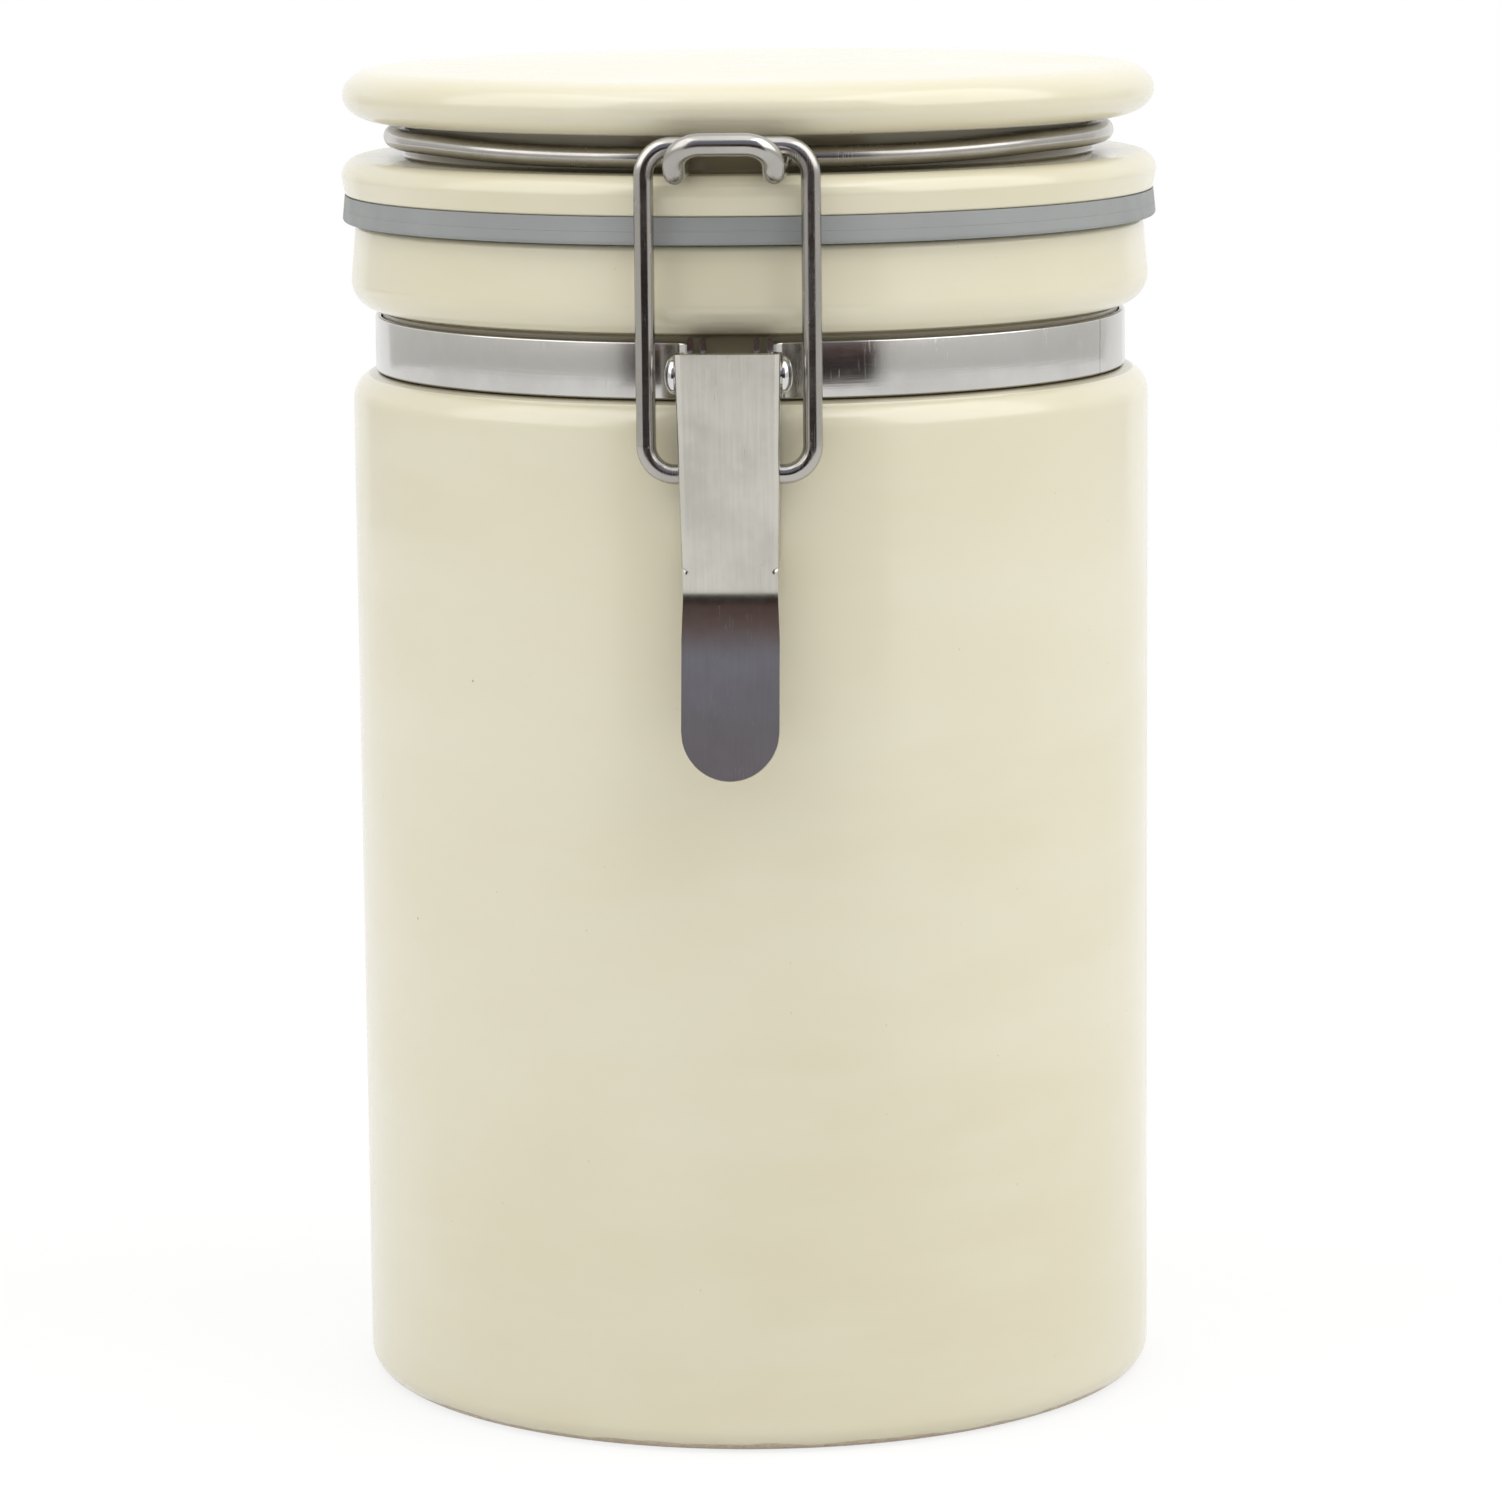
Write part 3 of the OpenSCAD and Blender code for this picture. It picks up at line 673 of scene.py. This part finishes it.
def make_lid():
    """The lid: hollow plug, flange, wire groove and pillow-edged disc."""
    edge = DISC_R - DISC_EDGE
    profile = [(0, HOLLOW_Z)] + arc((HOLLOW_R - HOLLOW_FILLET, HOLLOW_Z - HOLLOW_FILLET), HOLLOW_FILLET, 90, 0)
    profile += arc((HOLLOW_R + PLUG_INNER_EDGE, PLUG_Z + PLUG_INNER_EDGE), PLUG_INNER_EDGE, 180, 270, 8)
    profile += arc((PLUG_R - PLUG_LEAD, PLUG_Z + PLUG_LEAD), PLUG_LEAD, 270, 360, 8)
    profile += arc((PLUG_R + GLAZE_FILLET, FLANGE_Z - GLAZE_FILLET), GLAZE_FILLET, 180, 90, 6)
    profile += arc((FLANGE_EDGE - FLANGE_TAPER - FLANGE_LOW_R, FLANGE_Z + FLANGE_LOW_R), FLANGE_LOW_R, 270, 360, 6)
    profile += arc((FLANGE_EDGE - FLANGE_R, GROOVE_Z - FLANGE_R), FLANGE_R, 5, 90, 20)
    profile += arc((GROOVE_R + GLAZE_FILLET, GROOVE_Z + GLAZE_FILLET), GLAZE_FILLET, 270, 180, 6)
    profile += arc((GROOVE_R + GLAZE_FILLET, DISC_Z - GLAZE_FILLET), GLAZE_FILLET, 180, 90, 6)
    profile += arc((edge, DISC_Z + DISC_H / 2), DISC_EDGE, -90, 90, 40, DISC_H / 2)
    steps = 24
    for i in range(1, steps + 1):
        s = 1 - i / steps
        profile.append((edge * s, TOP_Z + CROWN * (1 - s * s)))
    return make_object("stoneware_lid", *revolved(with_support(profile)), "lid", ["lid"], "glaze")


def make_seal():
    """The flared silicone ring between the flange and the rim."""
    lip, z = seal_high.x, seal_low.z
    profile = [(PLUG_R, z)] + arc((lip - LIP_R, z + LIP_R), LIP_R, 270, 360, 6)
    profile += [(FLANGE_EDGE - FLANGE_TAPER, FLANGE_Z), (PLUG_R, FLANGE_Z)]
    return make_object("silicone_seal", *revolved(with_support(profile)), "lid", ["seal"], "silicone")


def ring_height(y):
    """Height of the lid ring, which the latch pulls down a little at the front."""
    s = min(1, max(0, (-y / RING_R - RING_PULL_FROM) / RING_PULL_OVER))
    return RING_Z - RING_PULL * s * s * (3 - 2 * s)


def mirrored(side):
    """A wire's whole path, from the half of it at +X that starts in the middle."""
    return [Vector((-p.x, p.y, p.z)) for p in side[:0:-1]] + side


def root_bend(x, out, steps=10):
    """Points of the bend from the ring to the leg at x, with out 1 for the front and -1 for the back."""
    centre = (x + ROOT_BEND, -out * math.sqrt((RING_R + ROOT_BEND) ** 2 - (x + ROOT_BEND) ** 2))
    heading = math.degrees(math.atan2(centre[1], centre[0]))
    turn = arc(centre, ROOT_BEND, 180, heading + 180, steps)
    return [Vector((px, py, ring_height(py))) for px, py in turn], heading


def make_lid_ring():
    """The lid's wire: hook, ring in the groove, rear legs and in-turned pintles."""
    front, front_a = root_bend(HOOK_X, 1)
    back, back_a = root_bend(HINGE_X, -1)
    hook = rounded_path([
        ((0, ARCH_Y, ARCH_Z), 0),
        ((HOOK_X, ARCH_Y, ARCH_Z), HOOK_TOP_BEND),
        ((HOOK_X, ARCH_Y + HOOK_SLOPE, LEG_Z), HOOK_LOW_BEND),
        ((HOOK_X, bail_pivot.y + 0.5, LEG_Z), HOOK_REAR_BEND),
        ((HOOK_X, 3 - FLANGE_EDGE, front[0].z), HOOK_REAR_BEND),
        (tuple(front[0]), 0),
    ])
    round_part = [Vector((px, py, ring_height(py))) for px, py in arc((0, 0), RING_R, front_a, back_a, 90)]
    rear = rounded_path([
        (tuple(back[0]), 0),
        ((HINGE_X, hinge.y, back[0].z), LEG_BEND),
        ((HINGE_X, hinge.y, hinge.z), TURN_BEND),
        ((PINTLE_END + WIRE_CAP, hinge.y, hinge.z), 0),
    ])
    side = hook + front[1:] + round_part[1:-1] + back[::-1] + rear[1:]
    wire = swept(resampled(mirrored(side), 1.6), RING_WIRE_R)
    return make_object("lid_ring_wire", *wire, "lid", ["lid_ring"], "wire")


def make_bail():
    """The bail: a wire loop with a straight bar at the top and in-turned ends."""
    x, y, z = BAIL_X, bail_pivot.y, bail_pivot.z
    side = rounded_path([
        ((0, y, BAR_Z), 0), ((x, y, BAR_Z), BAIL_BEND), ((x, y, z), BAIL_BEND), ((BAIL_END - WIRE_CAP, y, z), 0)
    ], 14)
    wire = swept(resampled(mirrored(side), 1.2), BAIL_WIRE_R)
    return make_object("bail_wire", *wire, "bail", ["bail"], "wire")


def ear_range(y):
    """The lower and upper edge of a strap end at a distance y from the jar's axis."""
    if y < pivot.y:
        half = max(EAR_FOLD_HALF, math.sqrt(max(0, EAR_R ** 2 - (y - pivot.y) ** 2)))
        return pivot.z - half, pivot.z + half
    s = min(1, (y - pivot.y) / (HORN_Y - pivot.y))
    low = pivot.z - EAR_R + (BAND_Z - pivot.z + EAR_R) * s
    if y < HORN_Y - 0.1:
        return low, pivot.z + EAR_R
    return low, max(BAND_TOP, HORN_Z - (y - HORN_Y) * HORN_FALL)


def make_neck_band():
    """The strap round the neck, whose front ends bend out and fold back as ears."""
    mid_r = BAND_R + BAND_T / 2
    leaf_x = EAR_X - BAND_T / 2
    inner_x = EAR_X - EAR_FOLD + BAND_T / 2
    fold_r = (leaf_x - inner_x) / 2
    fold_y = pivot.y - EAR_R + EAR_FOLD / 2
    root_r = EAR_FILLET + BAND_T / 2
    root_x = leaf_x + root_r
    root_y = -math.sqrt((mid_r + root_r) ** 2 - root_x ** 2)
    root_a = math.degrees(math.atan2(root_y, root_x))
    # Places along an ear, from its root to the fold, with two at the corner where its upper edge steps up
    steps = (-51.6, HORN_Y + 0.01, HORN_Y - 0.11, -53, -54, -55, -56)
    inner = [(inner_x, y) for y in (2 - BODY_R, *steps)]
    fold = arc((inner_x + fold_r, fold_y), fold_r, 180, 360, 14)
    outer = [(leaf_x, y) for y in steps[::-1]]
    root = arc((root_x, root_y), root_r, 180, 180 + root_a, 8)
    ear = inner + fold + outer
    path = ear + root + arc((0, 0), mid_r, root_a, 90, 110)[1:]
    ranges = [ear_range(y) for _, y in ear] + [(BAND_Z, BAND_TOP)] * (len(path) - len(ear))
    path += [(-x, y) for x, y in path[-2::-1]]
    ranges += ranges[-2::-1]
    sheet = strip(path, ranges, BAND_T, lambda x, y, h: (x, y, h), 0.3)
    return make_object("neck_strap", *sheet, "jar", ["neck_band"], "band_steel")


def make_hinge_bracket():
    """The plate behind the band: a curved pad, a riser and a rolled barrel."""
    mid = PAD_OUT - PLATE_T / 2
    half_a = math.degrees(math.asin(bracket_high.x / PAD_OUT))
    pad_path = arc((0, 0), mid, 90 - half_a, 90 + half_a, 24)
    pad_range = (BAND_Z + PAD_INSET, BAND_TOP - PAD_INSET)
    pad = strip(pad_path, [pad_range] * len(pad_path), PLATE_T, lambda x, y, h: (x, y, h))
    curl_r = BARREL_BORE + PLATE_T / 2
    riser_y = RISER_Y + PLATE_T / 2
    curl = arc((hinge.y, hinge.z), curl_r, 200, -138, 40)
    curl_y, curl_z = curl[0]
    riser = rounded_path([
        ((mid, pivot.z - 2.2, 0), 0), ((mid + 0.1, pivot.z + 0.4, 0), 1.5), ((riser_y, COLLAR_Z - 0.2, 0), 2),
        ((riser_y, hinge.z - 3.4, 0), 1.5), ((curl_y - 0.25, curl_z - 0.7, 0), 1), ((curl_y, curl_z, 0), 0),
    ], 6)
    path = [(p.x, p.y) for p in riser[:-1]] + curl
    sheet = strip(path, [(-BARREL_W / 2, BARREL_W / 2)] * len(path), PLATE_T, lambda y, z, x: (x, y, z))
    return make_object("rear_hinge_bracket", *joined(pad, sheet), "jar", ["hinge_bracket"], "band_steel")


def dome(radius, height, rim=0.2, segments=48):
    """A domed head on the XY plane, with a short straight rim and a closed underside."""
    profile = [(0, 0), (radius - 0.1, 0), (radius, 0.1), (radius, rim)]
    profile += arc((0, rim), radius, 6, 90, 14, height - rim)[:-1] + [(0, height)]
    return revolved(profile, segments)


def make_rivets():
    """The two domed heads that hold the bracket to the band."""
    heads = []
    for side in (-1, 1):
        out = Matrix.Rotation(side * RIVET_ANGLE, 4, "Z") @ Matrix.Translation((0, PAD_OUT, pivot.z))
        out = out @ Matrix.Rotation(-math.pi / 2, 4, "X")
        vertices, faces = dome(RIVET_HEAD, RIVET_DOME)
        heads.append(([out @ Vector(v) for v in vertices], faces))
    return make_object("bracket_rivet_heads", *joined(*heads), "jar", ["bracket_rivets"], "pin_steel")


def make_pin():
    """The lever's pin, with a domed head on each side."""
    head_x = pin_high.x - HEAD_DOME
    heads = [along_x(dome(HEAD_R, HEAD_DOME), (side * head_x, pivot.y, pivot.z), side) for side in (-1, 1)]
    shank = revolved([(0, -head_x), (PIN_R, -head_x), (PIN_R, head_x), (0, head_x)], 48)
    shank = along_x(shank, (0, pivot.y, pivot.z), 1)
    return make_object("pivot_pin_steel", *joined(*heads, shank), "jar", ["pivot_pin"], "pin_steel")


def make_lever():
    """The lever's bent sheet: a channel with folded sides and a thumb tab below it."""
    top, low, tip = lever_high.z, CHANNEL_Z, lever_low.z
    lean = math.atan(WEB_LEAN / (top - low))
    bend_end = low - sum(length for length, _ in TAB_BENDS)
    tab_r = LEVER_HALF_LOW + TAB_FLARE
    round_z = tip + tab_r
    sides_end = low + SIDE_END

    def web_y(z):
        """The outside of the web and the tab at a height."""
        y = WEB_TOP_Y + WEB_LEAN * min(1, (top - z) / (top - low))
        slope, left = math.tan(lean), low - z
        for length, angle in TAB_BENDS:
            part = max(0, min(left, length))
            change = slope + math.tan(math.radians(angle))
            y += slope * part - change * part ** 2 / (2 * length)
            slope -= change * part / length
            left -= part
        return y + slope * max(0, left)

    def half_width(z):
        """Half the lever's width at a height."""
        if z >= sides_end:
            return LEVER_HALF_TOP + (LEVER_HALF_LOW - LEVER_HALF_TOP) * (top - z) / (top - low)
        return LEVER_HALF_LOW - WAIST + (WAIST + TAB_FLARE) * max(0.0, min(1.0, (low - 1 - z) / 5))

    def side_back(z):
        """How far back the folded sides reach at a height."""
        back = SIDE_Y
        if z > top - SIDE_TOP_R:
            back += math.sqrt(max(0.0, SIDE_TOP_R ** 2 - (z - top + SIDE_TOP_R) ** 2)) - SIDE_TOP_R
        if z < sides_end + SIDE_LOW_H:
            back -= SIDE_LOW_D * ((sides_end + SIDE_LOW_H - z) / SIDE_LOW_H) ** 2
        return back

    def across(half):
        """Places from one fold to the other, which are close together at the folds."""
        edge = [half - LEVER_FOLD * i / 8 for i in range(9)]
        web = [(half - LEVER_FOLD) * (1 - i / 8) for i in range(1, 16)]
        return edge + web + [-x for x in edge[::-1]]

    def folded(z):
        """Outside of the channel at a height, from one side's back edge to the other's."""
        half, reach = half_width(z), side_back(z) - web_y(z)
        flank = [(half, LEVER_FOLD + (reach - LEVER_FOLD) * i / 5) for i in range(5, 0, -1)]
        right = flank + arc((half - LEVER_FOLD, LEVER_FOLD), LEVER_FOLD, 0, -90, 8)
        web = [(x, 0) for x in across(half)[9:-9]]
        return [(x, web_y(z) + depth, z) for x, depth in right + web + [(-x, d) for x, d in right[::-1]]]

    def flat(z, t=0.0):
        """Outside of the flat sheet at a height, with t from 0 to 1 towards the tab's round end.

        Its edge points are repeated, so that it has as many as a folded row.
        """
        row = []
        for x in across(half_width(z)):
            end = round_z - math.sqrt(max(0.0, tab_r ** 2 - x * x))
            height = z + (end - z) * t
            row.append((x, web_y(height), height))
        return [row[0]] * 5 + row + [row[-1]] * 5

    def heights(start, end, cuts):
        """Heights from one to another in equal cuts, without the first."""
        return [start + (end - start) * i / cuts for i in range(1, cuts + 1)]

    channel = [top - t for t in (0, 0.4, 0.8, 1.3, 1.9, 2.5, SIDE_TOP_R)]
    channel += heights(top - SIDE_TOP_R, sides_end + SIDE_LOW_H, 18)
    channel += [sides_end + SIDE_LOW_H * t for t in (0.8, 0.6, 0.4, 0.2, 0.1, 0)]
    rows = [folded(z) for z in channel]
    rows += [flat(sides_end - t) for t in (0.35, 0.8)]
    rows += [flat(z) for z in heights(sides_end - 0.8, bend_end, 26) + heights(bend_end, round_z + 1, 8)]
    rows += [flat(round_z + 1, i / 10) for i in range(1, 11)]
    size = len(rows[0])
    vertices = [v for row in rows for v in row]
    faces = [
        (i * size + k, i * size + k + 1, (i + 1) * size + k + 1, (i + 1) * size + k)
        for i in range(len(rows) - 1) for k in range(size - 1)
    ]
    piece = make_object("lever_sheet", vertices, faces, "lever", ["lever"], "lever_steel")
    thick = piece.modifiers.new("thickness", "SOLIDIFY")
    thick.thickness = LEVER_T * MM
    thick.offset = -1
    round_edge = piece.modifiers.new("edges", "BEVEL")
    round_edge.width = EDGE_R * MM
    round_edge.segments = 2
    round_edge.limit_method = "ANGLE"
    round_edge.angle_limit = math.radians(50)
    return piece


make_jar()
make_lid()
make_seal()
make_lid_ring()
make_bail()
make_neck_band()
make_hinge_bracket()
make_rivets()
make_pin()
make_lever()

# ---------------------------------------------------------------- camera

CAMERA_DISTANCE = 0.8
CAMERA_HEIGHT = 0.2107
CAMERA_AZIMUTH = math.radians(2.8)
CAMERA_PITCH = math.radians(9.06)
CAMERA_ROLL = math.radians(-0.553)
CAMERA_YAW_OFFSET = math.radians(0.0416)
CAMERA_LENS = 144.2

camera_data = bpy.data.cameras.new("camera")
camera_data.sensor_width = 36
camera_data.lens = CAMERA_LENS
camera = bpy.data.objects.new("camera", camera_data)
scene.collection.objects.link(camera)
turn = Matrix.Rotation(CAMERA_AZIMUTH + CAMERA_YAW_OFFSET, 4, "Z")
turn = turn @ Matrix.Rotation(math.pi / 2 - CAMERA_PITCH, 4, "X") @ Matrix.Rotation(CAMERA_ROLL, 4, "Z")
front = Vector((math.sin(CAMERA_AZIMUTH), -math.cos(CAMERA_AZIMUTH), 0))
camera.matrix_world = Matrix.Translation(front * CAMERA_DISTANCE + Vector((0, 0, CAMERA_HEIGHT))) @ turn
scene.camera = camera
scene.view_settings.view_transform = "Standard"


# ---------------------------------------------------------------- floor, world, lamps and cards

def seen_directly(tree):
    """A socket that is 1 for what the camera sees, also by reflection or through glass, and 0 for lighting."""
    path = node(tree, "ShaderNodeLightPath")
    either = math_node(tree, "MAXIMUM", path.outputs["Is Camera Ray"], path.outputs["Is Glossy Ray"])
    return math_node(tree, "MAXIMUM", either, path.outputs["Is Transmission Ray"])


WORLD_LOW = (0.33, 0.33, 0.33)
WORLD_HIGH = (0.72, 0.72, 0.73)
FLOOR_LIT = (0.76, 0.76, 0.76)      # the floor as it lights the canister
FLOOR_SEEN = (0.88, 0.88, 0.875)
FLOOR_HALF = 9.0
CARD_EYE = 0.13                     # height from which a card's elevations are measured
CARD_LOWEST = 0.004

world = bpy.data.worlds.new("studio")
scene.world = world
world.use_nodes = True
tree = world.node_tree
tree.nodes.clear()
up = coordinate(tree, node(tree, "ShaderNodeTexCoord").outputs["Generated"], "Z")
sky = mix(tree, remap(tree, up, -0.1, 0.9), WORLD_LOW, WORLD_HIGH)
lit = node(tree, "ShaderNodeBackground", {"Color": sky, "Strength": 1.0})
shown = node(tree, "ShaderNodeBackground", {"Color": (1, 1, 1, 1), "Strength": 1.0})
both = node(tree, "ShaderNodeMixShader", {0: seen_directly(tree), 1: lit.outputs[0], 2: shown.outputs[0]})
node(tree, "ShaderNodeOutputWorld", {"Surface": both.outputs[0]})

floor_material = bpy.data.materials.new("pale_floor")
floor_material.use_nodes = True
tree = floor_material.node_tree
tree.nodes.clear()
tone = mix(tree, seen_directly(tree), FLOOR_LIT, FLOOR_SEEN)
paper = node(tree, "ShaderNodeBsdfDiffuse", {"Color": tone})
white = node(tree, "ShaderNodeEmission", {"Color": (1, 1, 1, 1), "Strength": 1.0})
away = node(tree, "ShaderNodeVectorMath", {0: node(tree, "ShaderNodeTexCoord").outputs["Object"]}, operation="LENGTH")
share = math_node(tree, "MULTIPLY", seen_directly(tree), remap(tree, away.outputs["Value"], 0.2, 1.1, 0.8, 1.0))
both = node(tree, "ShaderNodeMixShader", {0: share, 1: paper.outputs[0], 2: white.outputs[0]})
node(tree, "ShaderNodeOutputMaterial", {"Surface": both.outputs[0]})
floor_mesh = bpy.data.meshes.new("floor")
corners = [(x * FLOOR_HALF, y * FLOOR_HALF, 0) for x, y in ((-1, -1), (1, -1), (1, 1), (-1, 1))]
floor_mesh.from_pydata(corners, [], [(0, 1, 2, 3)])
floor_mesh.materials.append(floor_material)
floor = bpy.data.objects.new("floor", floor_mesh)
scene.collection.objects.link(floor)


def lamp(name, place, size, watts):
    """A soft square lamp that shines at the middle of the canister."""
    data = bpy.data.lights.new(name, "AREA")
    data.shape = "RECTANGLE"
    data.size, data.size_y = size
    data.energy = watts
    light = bpy.data.objects.new(name, data)
    scene.collection.objects.link(light)
    aim = (Vector((0, 0, 0.1)) - Vector(place)).to_track_quat("-Z", "Y")
    light.matrix_world = Matrix.Translation(place) @ aim.to_matrix().to_4x4()
    return light


lamp("top_softbox", (0.0, -0.35, 1.25), (1.4, 1.2), 3.1)
lamp("left_softbox", (-0.95, -0.4, 0.95), (1.3, 1.3), 7.2)
lamp("right_softbox", (0.95, -0.3, 0.95), (1.3, 1.3), 9.2)
lamp("rear_softbox", (0.1, 1.15, 0.75), (1.3, 1.0), 4.0).visible_glossy = False


def card(name, radius, azimuths, elevations, bands):
    """A curved studio card that only reflections show.

    Azimuths are in degrees from the front towards the right, and bands gives pairs of an elevation in degrees and a
    colour, from the bottom up.
    """
    steps = 24
    vertices, faces = [], []
    for i in range(steps + 1):
        a = math.radians(azimuths[0] + (azimuths[1] - azimuths[0]) * i / steps)
        for elevation in elevations:
            z = CARD_EYE + radius * math.tan(math.radians(elevation))
            vertices.append((radius * math.sin(a), -radius * math.cos(a), max(z, CARD_LOWEST)))
        if i:
            faces.append((2 * i - 2, 2 * i, 2 * i + 1, 2 * i - 1))
    mesh = bpy.data.meshes.new(name)
    mesh.from_pydata(vertices, [], faces)
    material = bpy.data.materials.new(name)
    material.use_nodes = True
    tree = material.node_tree
    tree.nodes.clear()
    height = coordinate(tree, node(tree, "ShaderNodeTexCoord").outputs["Object"], "Z")
    slope = math_node(tree, "DIVIDE", math_node(tree, "SUBTRACT", height, CARD_EYE), radius)
    low, high = math.radians(bands[0][0]), math.radians(bands[-1][0])
    rise = math_node(tree, "SUBTRACT", math_node(tree, "ARCTANGENT", slope), low)
    ramp = node(tree, "ShaderNodeValToRGB", {"Fac": math_node(tree, "DIVIDE", rise, high - low)})
    stops = ramp.color_ramp.elements
    places = [(math.radians(elevation) - low) / (high - low) for elevation, _ in bands]
    for place in places[1:-1]:
        stops.new(place)
    for stop, (_, colour) in zip(stops, bands):
        stop.color = (*colour, 1)
    glow = node(tree, "ShaderNodeEmission", {"Color": ramp.outputs["Color"], "Strength": 1.0})
    node(tree, "ShaderNodeOutputMaterial", {"Surface": glow.outputs[0]})
    mesh.materials.append(material)
    panel = bpy.data.objects.new(name, mesh)
    scene.collection.objects.link(panel)
    panel.visible_camera = False
    panel.visible_diffuse = False
    panel.visible_transmission = False
    panel.visible_shadow = False


# The dark room in front of the canister, which the latch and the band mirror, and two pale cards beside it
card("room_card", 0.5, (-34, 40), (-12, 46), [
    (-12, (0.20, 0.17, 0.155)),
    (-8, (0.034, 0.026, 0.024)),
    (0, (0.026, 0.019, 0.019)),
    (5, (0.055, 0.030, 0.025)),
    (8, (0.120, 0.062, 0.046)),
    (11.5, (0.195, 0.150, 0.150)),
    (14.5, (0.255, 0.265, 0.345)),
    (34, (0.255, 0.290, 0.385)),
    (46, (0.5, 0.5, 0.5)),
])
card("left_card", 0.95, (-34, -140), (-8, 10), [(-8, (0.66, 0.65, 0.63)), (10, (0.82, 0.81, 0.79))])
card("right_card", 0.95, (40, 140), (-8, 10), [(-8, (0.70, 0.69, 0.67)), (10, (0.86, 0.85, 0.83))])
